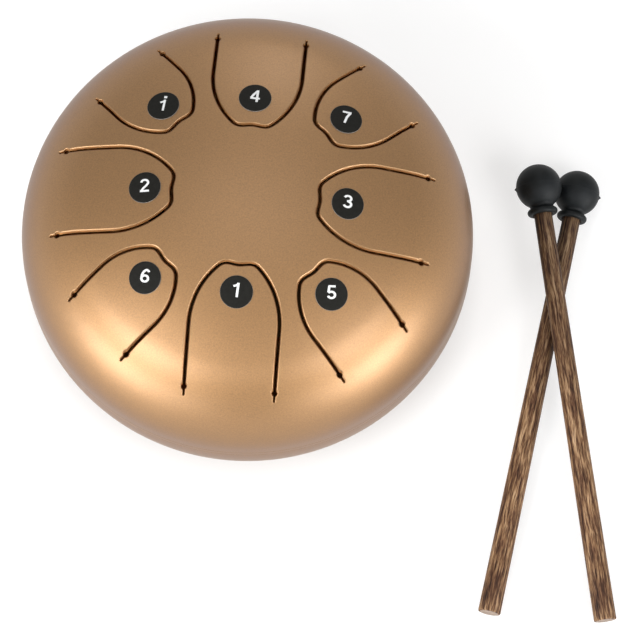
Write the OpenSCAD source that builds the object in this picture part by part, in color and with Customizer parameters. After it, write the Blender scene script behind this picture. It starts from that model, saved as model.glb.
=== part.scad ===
// Eight-note steel tongue drum with its pair of rubber-headed mallets.
// Millimetres, +Z up. The origin is on the drum's axis, in the plane that the drum and the mallets
// rest on. Tongue number 1 points along -Y, and the mallets lie on the +X side.

/* [Drum shells] */
// Outside diameter of the drum at its seam
drum_d = 140; // [128:1:160]
// Thickness of the pressed sheet steel
sheet = 1.5; // [1:0.1:2]
// Radius of the shallow crown on top
crown_r = 136.4; // [120:0.1:170]
// Radius of the shoulder between the top crown and the rim
shoulder_r = 30.4; // [26:0.1:36]
// Radius of the flatter crown underneath
base_crown_r = 190; // [160:1:240]
// Radius of the shoulder between the base crown and the rim
base_shoulder_r = 33; // [28:0.1:38]
// Height of the straight rim on each half, next to the seam
rim_h = 3.3; // [1.6:0.1:6]
// Diameter of the sound hole in the middle of the base
sound_hole_d = 44; // [30:1:50]
// Depth of the groove that the seam weld fills
weld_depth = 0.9; // [0.5:0.1:1]
// Height of the seam weld where it shows on the outside
weld_h = 2; // [1:0.1:3]

/* [Tongues] */
// Width of the cut round each tongue
slot_w = 1; // [0.6:0.05:1.4]
// Width of the four long tongues between the centres of their side cuts
long_w = 27.3; // [24:0.1:28]
// Distance from the drum's axis to the tip cut of the long tongues
long_tip = 22.1; // [20:0.1:24]
// Width of the four short tongues between the centres of their side cuts
short_w = 24.7; // [22:0.1:27]
// Distance from the drum's axis to the tip cut of the short tongues
short_tip = 31.3; // [29:0.1:33]
// Width of the flat at a tongue's tip
tip_flat = 7.2; // [4:0.1:10]
// Depth of the slight hollow in the middle of the tip
tip_hollow = 0.4; // [0:0.1:1]
// Radius of the corner beside the tip's flat
corner_r = 3.5; // [2:0.1:5]
// Angle that this corner turns through before the long flank begins
corner_turn = 42; // [35:1:50]
// Diameter of the round hole that ends each side cut
end_hole_d = 1.7; // [1.6:0.05:2.4]
// Width of the fine cut that runs on past each end hole
tail_w = 0.5; // [0.3:0.05:0.8]
// Length of that fine cut, from the hole's centre
tail_l = 2.3; // [1.5:0.1:4]

/* [Note discs] */
// Diameter of the numbered discs
disc_d = 10; // [8:0.1:12]
// Thickness of the numbered discs
disc_t = 0.25; // [0.1:0.05:0.5]

/* [Feet] */
// Distance from the drum's axis to each rubber foot
foot_circle_r = 38; // [33:0.5:40]
// Diameter of a foot where it meets the base
foot_top_d = 13.4; // [11:0.1:15]
// Diameter of a foot where it meets the table
foot_bottom_d = 12; // [9:0.1:13]
// Radius of the rounding round the foot's lower edge
foot_round = 1.2; // [0.5:0.1:2]
// Height of the sound hole's rim above the table
foot_lift = 3; // [2:0.1:6]
// Diameter of the neck that passes through the base
foot_neck_d = 6; // [4:0.1:7]
// Diameter of the barb that holds the foot from inside
foot_barb_d = 8.4; // [7.4:0.1:9]
// Height of that barb
foot_barb_h = 4; // [2:0.1:6]

/* [Mallets] */
// Length of a mallet from the centre of its ball to the butt of its stick
mallet_l = 141.4; // [110:1:170]
// Diameter of the rubber ball
ball_d = 14.7; // [12:0.1:18]
// Outside diameter of the collar under the ball
collar_d = 9.7; // [8.4:0.1:11]
// Thickness of the collar's rounded edge
collar_t = 3; // [2:0.1:4]
// Distance from the centre of the ball to the open end of the collar
collar_end = 9.4; // [8.6:0.1:12]
// Diameter of the stick where it leaves the collar
stick_neck_d = 5.8; // [4.5:0.1:6.2]
// Diameter of the stick at its butt
stick_butt_d = 7.05; // [6.5:0.05:9]
// Size of the chamfer round the butt
butt_chamfer = 0.3; // [0.1:0.05:1]
// Depth of the stick in the rubber head, from the open end of the collar
socket_depth = 10; // [5:0.5:13]

/* [Lay of the mallets] */
// Gap in plan between the drum's seam and the point where the sticks cross
cross_gap = 27.8; // [24:0.5:50]
// Distance of the crossing in front of the drum's axis
cross_forward = 0.5; // [-40:0.5:40]
// Distance along the lower stick from the crossing to the centre of its ball
lower_ball_reach = 37.4; // [34:0.1:60]
// Distance along the upper stick from the crossing to the centre of its ball
upper_ball_reach = 36; // [34:0.1:60]
// Heading of the lower mallet, clockwise from +Y
lower_heading = 7.5; // [6:0.1:10]
// Heading of the upper mallet, anticlockwise from +Y
upper_heading = 12.5; // [10:0.1:14]

/* [Clearances] */
// Clearance between the weld and the groove, and in each foot's hole
fit_gap = 0.05; // [0.02:0.01:0.1]
// Gap between a tongue's root and the shell, which lets the tongue turn
root_gap = 0.1; // [0.05:0.01:0.15]
// Thickness of the glue under a note disc and round a stick's end
glue_gap = 0.05; // [0.02:0.01:0.1]
// Gap left between the two sticks where they cross
rest_gap = 0.25; // [0.1:0.05:0.5]

/* [Hidden] */
$fn = 180;
// How far every cut runs past the surface that it opens
overrun = 2;
// Steps in a millimetre to which the first of two moves to a crown's centre is rounded
centre_steps = 1000;
// Steps in a tongue's tip flat, tip corner and long flank
tip_steps = 6;
corner_steps = 5;
flank_steps = 9;
// Number of rubber feet
foot_count = 3;

// Note names in order round the drum, anticlockwise from above, starting with the one along -Y
NOTES = ["1", "5", "3", "7", "4", "high_1", "2", "6"];
// Distance from the drum's axis to each tongue's root, as a share of the drum's radius, in that order
root_share = [0.824, 0.836, 0.776, 0.797, 0.769, 0.786, 0.806, 0.82];
// Distance from the drum's axis to the middle of each disc, as a share of that radius too
disc_share = [0.44, 0.572, 0.441, 0.568, 0.455, 0.561, 0.437, 0.563];
note_step = 360 / len(NOTES);

drum_r = drum_d / 2;
hole_r = sound_hole_d / 2;
ball_r = ball_d / 2;
butt_r = stick_butt_d / 2;
neck_r = stick_neck_d / 2;

// Angle from the axis at which a crown runs into its shoulder, tangent to it
crown_turn = asin((drum_r - shoulder_r) / (crown_r - shoulder_r));
base_turn = asin((drum_r - base_shoulder_r) / (base_crown_r - base_shoulder_r));
// Distance from the seam back to the centre of each crown's sphere
crown_back = (crown_r - shoulder_r) * cos(crown_turn) - rim_h;
base_back = (base_crown_r - base_shoulder_r) * cos(base_turn) - rim_h;
// Height of the seam: the sound hole's rim hangs foot_lift above the table
seam_z = sqrt(base_crown_r ^ 2 - hole_r ^ 2) - base_back + foot_lift;
crown_centre_z = seam_z - crown_back;
base_centre_z = seam_z + base_back;
top_z = crown_centre_z + crown_r;
weld_half = weld_h / 2;

// Even places in NOTES are the long tongues
function is_long(i) = i % 2 == 0;
function tip_of(i) = is_long(i) ? long_tip : short_tip;
function half_of(i) = (is_long(i) ? long_w : short_w) / 2;
function root_of(i) = root_share[i] * drum_r;
function disc_of(i) = disc_share[i] * drum_r;

// Radius of the long flank, which takes up the width that the flat and the corner leave
function flank_r(i) =
    (half_of(i) - tip_flat / 2 - corner_r * sin(corner_turn)) / (1 - sin(corner_turn));

// One side of a tongue's outline, from the middle of the tip to the root, moved outwards by grow.
// A point is [distance across the tongue, distance from the drum's axis].
function side(i, grow, root) =
    let (
        flat = tip_flat / 2,
        tip = tip_of(i),
        flank = flank_r(i),
        corner_at = [flat, tip + corner_r],
        flank_at = corner_at + (flank - corner_r) * [-sin(corner_turn), cos(corner_turn)]
    )
    concat(
        [for (k = [0 : tip_steps - 1])
            let (share = k / tip_steps)
            [flat * share, tip - grow + tip_hollow * cos(90 * share) ^ 2]],
        [for (k = [0 : corner_steps - 1])
            let (turn = corner_turn * k / corner_steps)
            corner_at + (corner_r + grow) * [sin(turn), -cos(turn)]],
        [for (k = [0 : flank_steps])
            let (turn = corner_turn + (90 - corner_turn) * k / flank_steps)
            flank_at + (flank + grow) * [sin(turn), -cos(turn)]],
        [[half_of(i) + grow, root]]
    );

// The whole outline in plan, with the root along -Y
function outline(i, grow, root) =
    let (right = side(i, grow, root), last = len(right) - 1)
    concat(
        [for (p = right) [p[0], -p[1]]],
        [for (k = [last : -1 : 1]) [-right[k][0], -right[k][1]]]
    );

// One half of the drum in section, filled from the axis out to a surface that lies inset below
// the outside: a crown, a shoulder tangent to it and a straight rim, with the seam at height zero
module filled_section(crown, shoulder, turn, back, inset) {
    reach = crown + overrun;
    // The crown gives way to the shoulder along a line through the centres of both. Its centre is
    // reached in a coarse and a fine move, so that the two meet with no step.
    coarse_back = floor(back * centre_steps) / centre_steps;
    joint_foot = [back * tan(turn), 0];
    joint_head = [reach * tan(turn), reach - back];
    intersection() {
        translate([0, -coarse_back])
            translate([0, coarse_back - back])
                circle(r = crown - inset);
        polygon([[0, 0], joint_foot, joint_head, [0, joint_head[1]]]);
    }
    intersection() {
        translate([drum_r - shoulder, rim_h])
            circle(r = shoulder - inset);
        polygon([
            joint_foot,
            [drum_r + overrun, 0],
            [drum_r + overrun, joint_head[1]],
            joint_head
        ]);
        translate([0, rim_h])
            square(drum_r + overrun);
    }
    // A strip across the line, just below the surface, joins the two along all of it
    translate([0, -back])
        rotate(-turn)
            translate([-sheet / 2, back / cos(turn) + sheet])
                square([sheet, crown - inset - sheet / 4 - back / cos(turn) - sheet]);
    square([drum_r - inset, rim_h]);
}

module wall_section(crown, shoulder, turn, back) {
    difference() {
        filled_section(crown, shoulder, turn, back, 0);
        filled_section(crown, shoulder, turn, back, sheet);
    }
}

// V-shaped groove round the seam in section
module groove_section() {
    slope = weld_half / weld_depth;
    polygon([
        [drum_r - weld_depth, 0],
        [drum_r + overrun, (weld_depth + overrun) * slope],
        [drum_r + overrun, -(weld_depth + overrun) * slope]
    ]);
}

module upper_wall() {
    translate([0, 0, seam_z])
        rotate_extrude()
            difference() {
                wall_section(crown_r, shoulder_r, crown_turn, crown_back);
                groove_section();
            }
}

// Shape in plan, carried up through the whole height of the upper half
module through_top() {
    translate([0, 0, seam_z])
        linear_extrude(height = top_z - seam_z + overrun)
            children();
}

// The two round holes at the ends of a tongue's side cuts
module end_holes(i) {
    for (side = [-1, 1])
        translate([side * half_of(i), -root_of(i), seam_z])
            cylinder(d = end_hole_d, h = top_z - seam_z + overrun);
}

// Everything that the shell loses round tongue i: the tongue with its cut, the holes and fine tails
module tongue_window(i) {
    through_top() polygon(outline(i, slot_w / 2, root_of(i)));
    end_holes(i);
    for (side = [-1, 1])
        through_top()
            translate([side * half_of(i) - tail_w / 2, -root_of(i) - tail_l])
                square([tail_w, tail_l]);
}

module upper_shell() {
    color("peru")
        difference() {
            upper_wall();
            for (i = [0 : len(NOTES) - 1])
                rotate([0, 0, note_step * i])
                    tongue_window(i);
        }
}

module tongue(i) {
    color("peru")
        rotate([0, 0, note_step * i])
            difference() {
                intersection() {
                    upper_wall();
                    through_top() polygon(outline(i, -slot_w / 2, root_of(i) - root_gap));
                }
                end_holes(i);
            }
}

// Thin disc that follows the crown, square to it, centred above the middle of tongue i
module note_disc(i) {
    under = crown_r + glue_gap;
    color("darkslategray")
        rotate([0, 0, note_step * i])
            translate([0, 0, crown_centre_z])
                rotate([asin(disc_of(i) / crown_r), 0, 0])
                    rotate_extrude()
                        intersection() {
                            difference() {
                                circle(r = under + disc_t);
                                circle(r = under);
                            }
                            translate([0, under - overrun])
                                square([disc_d / 2, disc_t + 2 * overrun]);
                        }
}

module lower_shell() {
    color("peru")
        difference() {
            translate([0, 0, seam_z])
                mirror([0, 0, 1])
                    rotate_extrude()
                        difference() {
                            wall_section(base_crown_r, base_shoulder_r, base_turn, base_back);
                            groove_section();
                        }
            cylinder(r = hole_r, h = seam_z);
            for (i = [1 : foot_count])
                at_foot(i)
                    cylinder(d = foot_neck_d + 2 * fit_gap, h = seam_z);
        }
}

// Bead of weld that fills the groove, ground flush with the shells
module seam_weld() {
    slope = weld_half / weld_depth;
    gap = fit_gap * sqrt(1 + slope ^ 2) / slope;
    color("chocolate")
        translate([0, 0, seam_z])
            rotate_extrude()
                polygon([
                    [drum_r - weld_depth + gap, 0],
                    [drum_r, weld_half - gap * slope],
                    [drum_r, -weld_half + gap * slope]
                ]);
}

module at_foot(i) {
    rotate([0, 0, 360 / foot_count * (i - 1)])
        translate([0, -foot_circle_r, 0])
            children();
}

// Height of the base's inner face on the axis of a foot
function foot_inside_z() =
    base_centre_z - sqrt((base_crown_r - sheet) ^ 2 - foot_circle_r ^ 2);

// Tapered head with a rounded lower edge, tall enough to reach past the base's outer face
module foot_head() {
    lower_r = foot_bottom_d / 2;
    rotate_extrude() {
        translate([lower_r - foot_round, foot_round])
            intersection() {
                circle(r = foot_round);
                translate([0, -foot_round]) square(foot_round);
            }
        square([lower_r - foot_round, foot_round]);
        polygon([
            [0, foot_round],
            [lower_r, foot_round],
            [foot_top_d / 2, foot_inside_z()],
            [0, foot_inside_z()]
        ]);
    }
}

// Rubber foot pushed up through the base: a head below, a neck in the hole and a barb inside
module rubber_foot(i) {
    inner_r = base_crown_r - sheet - fit_gap;
    barb_z = base_centre_z - inner_r;
    barb_top = foot_inside_z() + foot_barb_h;
    neck_from = foot_lift / 2;
    color("black") {
        difference() {
            at_foot(i) foot_head();
            translate([0, 0, base_centre_z])
                sphere(r = base_crown_r + fit_gap);
        }
        at_foot(i)
            translate([0, 0, neck_from])
                cylinder(d = foot_neck_d, h = barb_top - foot_barb_h / 2 - neck_from);
        intersection() {
            at_foot(i)
                translate([0, 0, barb_z])
                    cylinder(d1 = foot_barb_d, d2 = foot_neck_d, h = barb_top - barb_z);
            translate([0, 0, base_centre_z])
                sphere(r = inner_r);
        }
    }
}

// Lay of the two mallets. The lower one lies on its ball and the edge of its butt.
// The upper one lies on the edge of its butt and on the lower stick.
lower_pitch = asin((ball_r - butt_r) / mallet_l);
cross_point = [drum_r + cross_gap, -cross_forward];
// Direction from ball to butt of a mallet with a heading to the right of +Y and a pitch
function towards_butt(heading, pitch) =
    [-sin(heading) * cos(pitch), -cos(heading) * cos(pitch), -sin(pitch)];
function stick_r(along) =
    neck_r + (butt_r - neck_r) * (along - collar_end) / (mallet_l - collar_end);

lower_dir = towards_butt(lower_heading, lower_pitch);
stack_r = stick_r(lower_ball_reach) + stick_r(upper_ball_reach) + rest_gap;
lower_cross_z = ball_r - lower_ball_reach * sin(lower_pitch);
// Two sticks that cross at a slope touch a little off the vertical, so the lift is a little more
upper_behind = mallet_l - upper_ball_reach;
level_pitch = asin((lower_cross_z + stack_r - butt_r) / upper_behind);
level_dir = towards_butt(-upper_heading, level_pitch);
square_to_both = cross(lower_dir, level_dir);
stack_h = stack_r * norm(square_to_both) / abs(square_to_both[2]);
upper_pitch = asin((lower_cross_z + stack_h - butt_r) / upper_behind);
upper_dir = towards_butt(-upper_heading, upper_pitch);

lower_ball = concat(
    cross_point - lower_ball_reach * [lower_dir[0], lower_dir[1]],
    [ball_r]
);
upper_ball = concat(
    cross_point - upper_ball_reach * [upper_dir[0], upper_dir[1]],
    [butt_r + mallet_l * sin(upper_pitch)]
);

// Sets a mallet drawn with its ball at the origin and its butt up the Z axis in its place
module lay_mallet(ball, heading, pitch) {
    translate(ball)
        rotate([0, 0, -heading])
            rotate([90 + pitch, 0, 0])
                children();
}

// Tapered stick with a chamfered butt and a plain end that is glued into the head
module stick() {
    socket_end = collar_end - socket_depth;
    color("saddlebrown")
        rotate_extrude()
            polygon([
                [0, socket_end],
                [neck_r, socket_end],
                [neck_r, collar_end],
                [butt_r, mallet_l - butt_chamfer],
                [butt_r - butt_chamfer, mallet_l],
                [0, mallet_l]
            ]);
}

// Rubber ball and its collar, moulded in one, with a blind socket for the stick
module head() {
    socket_end = collar_end - socket_depth;
    bead_r = collar_t / 2;
    color("black")
        rotate_extrude()
            difference() {
                union() {
                    intersection() {
                        circle(r = ball_r);
                        translate([0, -ball_r]) square([ball_r, ball_d]);
                    }
                    translate([collar_d / 2 - bead_r, collar_end - bead_r])
                        circle(r = bead_r);
                    square([collar_d / 2 - bead_r, collar_end]);
                }
                translate([0, socket_end - glue_gap])
                    square([neck_r + glue_gap, socket_depth + overrun]);
            }
}

module lower_mallet_stick() {
    lay_mallet(lower_ball, lower_heading, lower_pitch) stick();
}

module lower_mallet_head() {
    lay_mallet(lower_ball, lower_heading, lower_pitch) head();
}

module upper_mallet_stick() {
    lay_mallet(upper_ball, -upper_heading, upper_pitch) stick();
}

module upper_mallet_head() {
    lay_mallet(upper_ball, -upper_heading, upper_pitch) head();
}

upper_shell();
lower_shell();
seam_weld();
for (i = [0 : len(NOTES) - 1]) {
    tongue(i);
    note_disc(i);
}
for (i = [1 : foot_count])
    rubber_foot(i);
lower_mallet_stick();
lower_mallet_head();
upper_mallet_stick();
upper_mallet_head();
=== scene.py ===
# Looks of the steel tongue drum and its two mallets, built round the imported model.
import math

import bpy
import numpy as np
from mathutils import Matrix, Vector
from mathutils.geometry import delaunay_2d_cdt


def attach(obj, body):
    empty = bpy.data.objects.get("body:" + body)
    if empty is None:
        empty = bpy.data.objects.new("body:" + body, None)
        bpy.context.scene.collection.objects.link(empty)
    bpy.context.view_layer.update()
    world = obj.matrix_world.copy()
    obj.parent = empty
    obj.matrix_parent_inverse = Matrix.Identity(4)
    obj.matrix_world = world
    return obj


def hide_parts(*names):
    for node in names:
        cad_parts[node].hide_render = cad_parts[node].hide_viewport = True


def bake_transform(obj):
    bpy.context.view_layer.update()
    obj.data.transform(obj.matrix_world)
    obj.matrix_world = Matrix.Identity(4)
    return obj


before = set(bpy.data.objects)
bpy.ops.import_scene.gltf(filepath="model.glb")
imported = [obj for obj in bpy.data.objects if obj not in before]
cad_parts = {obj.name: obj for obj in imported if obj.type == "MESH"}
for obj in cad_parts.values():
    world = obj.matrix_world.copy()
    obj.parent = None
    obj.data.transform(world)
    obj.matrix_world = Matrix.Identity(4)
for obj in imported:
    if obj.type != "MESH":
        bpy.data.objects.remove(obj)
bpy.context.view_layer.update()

# Every size below is in millimetres until a mesh is made
MM = 0.001

# Drum
DRUM_R = 70.0
SHEET = 1.5
RIM_H = 3.3
SEAM_Z = 42.4442
CROWN_R, SHOULDER_R = 136.4, 30.4
BASE_CROWN_R, BASE_SHOULDER_R = 190.0, 33.0
SOUND_HOLE_R = 22.0
WELD_HALF = 1.0
SECTORS = 192

# Tongues, in order round the drum, anticlockwise from the one along -Y
NOTES = ["1", "5", "3", "7", "4", "high_1", "2", "6"]
TONGUE_TURN = 45
ROOT_SHARE = [0.824, 0.836, 0.776, 0.797, 0.769, 0.786, 0.806, 0.82]
DISC_SHARE = [0.44, 0.572, 0.441, 0.568, 0.455, 0.561, 0.437, 0.563]
SLOT_W = 1.0
LONG_W, LONG_TIP = 27.3, 22.1
SHORT_W, SHORT_TIP = 24.7, 31.3
TIP_FLAT, TIP_HOLLOW = 7.2, 0.4
CORNER_R, CORNER_TURN = 3.5, math.radians(42)
HOLE_R = 0.85
TAIL_HALF, TAIL_L = 0.25, 2.3
EDGE_R = 0.40
# Section of a cut's painted edge: share of EDGE_R away from the cut and below the surface, tilt in degrees
EDGE_SECTION = [(0, 0.80, 78), (0.12, 0.55, 56), (0.40, 0.33, 44), (0.74, 0.09, 34), (1, 0, 0)]

# Spacing of the points inside the dome's outer and inner face and inside a tongue, and their least
# distance from an edge
DOME_STEP, UNDER_STEP, TONGUE_STEP, EDGE_CLEAR = 2.3, 3.4, 2.1, 1.1

# Spacing of the points along a tongue's sides, and the longest sideways step at a corner of its cut
SIDE_STEP, MITER_MOST = 0.9, 1.6
# A tongue's inner points: half their breadth as a share of the tongue's, and their distances from the axis
GRID_REACH, GRID_SPAN = 1.2, (18, 62)

# Rims of the shells at the weld: how far in their rounding reaches in two steps, its first height, and
# how far from the weld it starts
RIM_INSET, RIM_FLAT, RIM_STEP, RIM_ROUND = 0.012, 0.045, 0.015, 0.15
# Weld's outer face: depth below the drum's widest radius, and height as a share of WELD_HALF
WELD_FACE = [(RIM_FLAT, -1), (0.018, -0.93), (0.008, -0.5), (0.004, 0),
             (0.008, 0.5), (0.018, 0.93), (RIM_FLAT, 1)]
# Rounding of the sound hole's edge
HOLE_EDGE_R = 0.55

# Note discs
DISC_R = 5.0
GLUE, FILM = 0.05, 0.25
# Turned profile of a disc from its middle: radius, and depth below the film's surface
DISC_PROFILE = [(0, 0), (1.7, 0), (3.3, 0), (4.55, 0), (4.80, 0.015), (4.93, 0.06), (DISC_R, 0.13)]
DISC_UNDERSIDE = 0.01

# Numbers
DIGIT_H = 4.3
INK_BELOW, INK_ABOVE = 0.01, 0.03
# The high note's number is smaller and lower, and has a dot above it
HIGH_SIZE, HIGH_SHIFT = 0.92, -0.12
DOT, DOT_W = [(0.36, 1.14), (0.36, 1.24), (0.36, 1.34)], 0.20
NUMBER_MIDDLE = (0.31, 0.355)
NUMBER_WIDEN, NUMBER_STROKE = 1.17, 0.145
# How far each number leans clockwise from upright in the photograph's view, in degrees
NUMBER_LEAN = [8, 0, 5, 8, 7, 9, 0, 8]
VIEW_TURN = 4.8

# Mallets
MALLET_L = 141.4
BALL_R = 7.35
# The ball is smaller by the skin, which its parting ridge and the nub on it rise from
SKIN, RIDGE_H, RIDGE_W = 0.05, 0.05, 0.11
NUB_H, NUB_WIDE, NUB_TALL = 0.55, 0.5, 0.42
COLLAR_R, COLLAR_END = 4.85, 9.4
FLANGE_T, FLANGE_EDGE = 2.1, 0.95
NECK_R, BUTT_R = 2.9, 3.525
SOCKET_DEPTH, SOCKET_CLEAR = 10, 0.05
# Butt: chamfer, height of the end above it, and how far in and down the end's worn edge lies
CHAMFER, END_CROWN, END_WORN = 0.3, 0.1, (0.25, 0.02)
# Head between ball and flange, [radius, height], and its lip, [clear of the neck, below the collar's end]
CREASE = [[3.86, 6.36], [3.74, 6.62], [3.76, 6.92]]
LIP = [(0.55, 0.03), (0.32, 0.12), (0.12, 0.36), (0.05, 0.6)]
LOWER_BALL, LOWER_HEADING, LOWER_PITCH = (102.680, 36.5665, 7.35), 7.5, 1.55009
UPPER_BALL, UPPER_HEADING, UPPER_PITCH = (90.0381, 34.5118, 15.9010), -12.5, 5.02121

# Colours as light, dark end and light end of each material's mottle
PAINT = (0.276, 0.1405, 0.0445), (0.294, 0.1515, 0.0485)
PAINT_GRAZING = (0.18, 0.15, 0.12, 1)
LINING = (0.50, 0.235, 0.078), (0.62, 0.300, 0.105)
FILM_FACE = (0.0088, 0.0084, 0.0070), (0.0128, 0.0124, 0.0107)
FILM_CUT = (0.13, 0.11, 0.09), (0.22, 0.19, 0.16)
INK = (0.66, 0.67, 0.67), (0.78, 0.79, 0.79)
HEAD_RUBBER = (0.0035, 0.0045, 0.0047), (0.0100, 0.0118, 0.0135)
FOOT_RUBBER = (0.006, 0.006, 0.006), (0.012, 0.012, 0.012)
SAWN = (0.21, 0.155, 0.12), (0.34, 0.265, 0.21)
WOOD_STREAKS = [(0.35, (0.032, 0.012, 0.0055)), (0.44, (0.092, 0.041, 0.019)), (0.51, (0.166, 0.086, 0.040)),
                (0.58, (0.265, 0.158, 0.080)), (0.67, (0.410, 0.268, 0.152))]
WOOD_BANDS = [(0.34, (0.58, 0.50, 0.46)), (0.50, (0.98, 0.97, 0.96)), (0.66, (1.15, 1.17, 1.20))]
WOOD_PORES = [(0.38, (0.22, 0.15, 0.12)), (0.50, (1, 1, 1))]
SAWN_PORES = [(0.34, (0.45, 0.38, 0.33)), (0.46, (1, 1, 1))]
# Share of the wood's colour left at the head end, and the distances along the stick, in metres, over which
# it rises to the full colour
HEAD_END_SHARE, HEAD_END_BAND = 0.50, (0.012, 0.085)

# Camera: azimuth from -Y towards +X and elevation, roll, target, distance, and lens on a 36 mm sensor
CAMERA_ANGLES, CAMERA_ROLL = (4.494, 71.592), 0.317
CAMERA_TARGET, CAMERA_DISTANCE = (24.587, -24.138, 40.0), 1162.4
CAMERA_LENS, CAMERA_SENSOR = 211.09, 36.0

# World as light, and as seen by the camera or in a reflection, low down and overhead
WORLD_LIGHT, WORLD_SEEN, CEILING_SEEN = 0.3, 0.95, 0.6
CEILING_FROM, CEILING_TO = 0.30, 0.55

# Floor: half its side in metres, its glow near the drum and far off, its colour, and the dark brown painted
# shadow in its colour under the drum, seen through the sound hole
FLOOR_HALF = 3.0
FLOOR_NEAR, FLOOR_FAR = 0.57, 0.38
FLOOR_COLOUR, PAINTED_SHADOW_UNDER_DRUM = (0.50, 0.50, 0.50), (0.09, 0.05, 0.02)
# Distances from the axis, in metres, over which the painted shadow gives way to the floor's colour and the
# two glows set in
PAINTED_SHADOW_BAND, NEAR_BAND, FAR_BAND = (0.026, 0.05), (0.045, 0.075), (0.15, 1.3)

# Softboxes: azimuth, elevation, width and height in metres, and brightness
LAMP_DISTANCE, LAMP_CENTRE_Z = 0.9, 0.05
SOFTBOXES = [
    ("left_high", -44, 42, 0.44, 0.34, 11.9),
    ("left_low", -48, 8, 0.46, 0.25, 11.4),
    ("front_low", -24, 8, 0.36, 0.25, 3.2),
    ("right_high", 54, 42, 0.42, 0.34, 7.6),
    ("front_high", 2, 50, 0.50, 0.30, 0.8),
    ("right_low", 58, 8, 0.42, 0.25, 12.6),
    ("right_front_low", 38, 8, 0.36, 0.25, 3.2),
    ("overhead", 184, 76, 0.50, 0.50, 1.15),
    ("back", 178, 32, 0.22, 0.26, 3.6),
]


# Section of the drum's wall

class Wall:
    """One face of a half of the drum, followed from the axis outwards. Heights are away from the seam."""

    def __init__(self, crown, shoulder, inset=0.0):
        self.turn = math.asin((DRUM_R - shoulder) / (crown - shoulder))
        self.back = (crown - shoulder) * math.cos(self.turn) - RIM_H
        self.mid = DRUM_R - shoulder
        self.crown = crown - inset
        self.shoulder = shoulder - inset
        self.crown_end = self.crown * self.turn
        self.shoulder_end = self.crown_end + self.shoulder * (math.pi / 2 - self.turn)
        self.length = self.shoulder_end + RIM_H

    def at(self, s):
        """Distance from the axis, height and both parts of the normal, at length s along the wall."""
        s = np.asarray(s, float)
        bend = self.turn + (s - self.crown_end) / self.shoulder
        angle = np.where(s < self.crown_end, s / self.crown, np.minimum(bend, math.pi / 2))
        on_crown = s < self.crown_end
        rho = np.where(on_crown, self.crown * np.sin(angle), self.mid + self.shoulder * np.sin(angle))
        height = np.where(on_crown, self.crown * np.cos(angle) - self.back,
                          RIM_H + self.shoulder * np.cos(angle) - np.maximum(s - self.shoulder_end, 0))
        return rho, height, np.sin(angle), np.cos(angle)

    def along(self, rho):
        """Length along the wall at a distance from the axis that is inside the rim."""
        rho = np.asarray(rho, float)
        crown_angle = np.arcsin(np.clip(rho / self.crown, 0, 1))
        bend = np.arcsin(np.clip((rho - self.mid) / self.shoulder, -1, 1)) - self.turn
        on_crown = rho < self.crown * math.sin(self.turn)
        return np.where(on_crown, self.crown * crown_angle, self.crown_end + self.shoulder * bend)


TOP_OUT = Wall(CROWN_R, SHOULDER_R)
TOP_IN = Wall(CROWN_R, SHOULDER_R, SHEET)
BASE_OUT = Wall(BASE_CROWN_R, BASE_SHOULDER_R)
BASE_IN = Wall(BASE_CROWN_R, BASE_SHOULDER_R, SHEET)
CROWN_CENTRE_Z = SEAM_Z - TOP_OUT.back


def lift(wall, plan):
    """Points on the top half's wall above points in plan, and their normals."""
    rho = np.hypot(plan[:, 0], plan[:, 1])
    _, height, out, up = wall.at(wall.along(rho))
    radial = plan / np.maximum(rho, 1e-9)[:, None]
    points = np.column_stack([plan, SEAM_Z + height])
    normals = np.column_stack([radial * out[:, None], up])
    return points, normals


def unroll(wall, plan):
    """Plan points moved out to their length along the wall, so that the whole wall lies flat."""
    rho = np.hypot(plan[:, 0], plan[:, 1])
    return plan * (wall.along(rho) / np.maximum(rho, 1e-9))[:, None]


def roll_up(wall, flat):
    """Points and normals on the wall from points of the flat pattern."""
    s = np.hypot(flat[:, 0], flat[:, 1])
    rho, height, out, up = wall.at(s)
    radial = flat / np.maximum(s, 1e-9)[:, None]
    points = np.column_stack([radial * rho[:, None], SEAM_Z + height])
    normals = np.column_stack([radial * out[:, None], up])
    return points, normals


# Outlines of the cuts, as [across the tongue, distance from the axis]

def is_long(i):
    """Long and short tongues take turns."""
    return i % 2 == 0


def half_width(i):
    """Half the distance between a tongue's two side cuts, middle to middle."""
    return (LONG_W if is_long(i) else SHORT_W) / 2


def root_at(i):
    """Distance of a tongue's root from the axis."""
    return ROOT_SHARE[i] * DRUM_R


def arc(centre, radius, start, stop, count):
    """Points on an arc, angles in radians from the across direction."""
    turn = np.linspace(start, stop, count)
    return np.column_stack([centre[0] + radius * np.cos(turn), centre[1] + radius * np.sin(turn)])


def half_outline(i, grow):
    """From the middle of the tip to where the side cut meets its end hole."""
    flat = TIP_FLAT / 2
    tip = LONG_TIP if is_long(i) else SHORT_TIP
    half = half_width(i)
    flank = (half - flat - CORNER_R * math.sin(CORNER_TURN)) / (1 - math.sin(CORNER_TURN))
    corner_at = np.array([flat, tip + CORNER_R])
    flank_at = corner_at + (flank - CORNER_R) * np.array([-math.sin(CORNER_TURN), math.cos(CORNER_TURN)])
    share = np.linspace(0, 1, 9)[:-1]
    tip_line = np.column_stack([flat * share, tip - grow + TIP_HOLLOW * np.cos(share * math.pi / 2) ** 2])
    quarter = math.pi / 2
    corner = arc(corner_at, CORNER_R + grow, -quarter, CORNER_TURN - quarter, 9)
    bend = arc(flank_at, flank + grow, CORNER_TURN - quarter, 0, 22)[1:]
    end = root_at(i) - math.sqrt(HOLE_R ** 2 - grow ** 2)
    steps = max(2, int(round((end - bend[-1][1]) / SIDE_STEP)))
    straight = np.linspace(bend[-1], [half + grow, end], steps + 1)[1:]
    return np.vstack([tip_line, corner, bend, straight])


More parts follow.
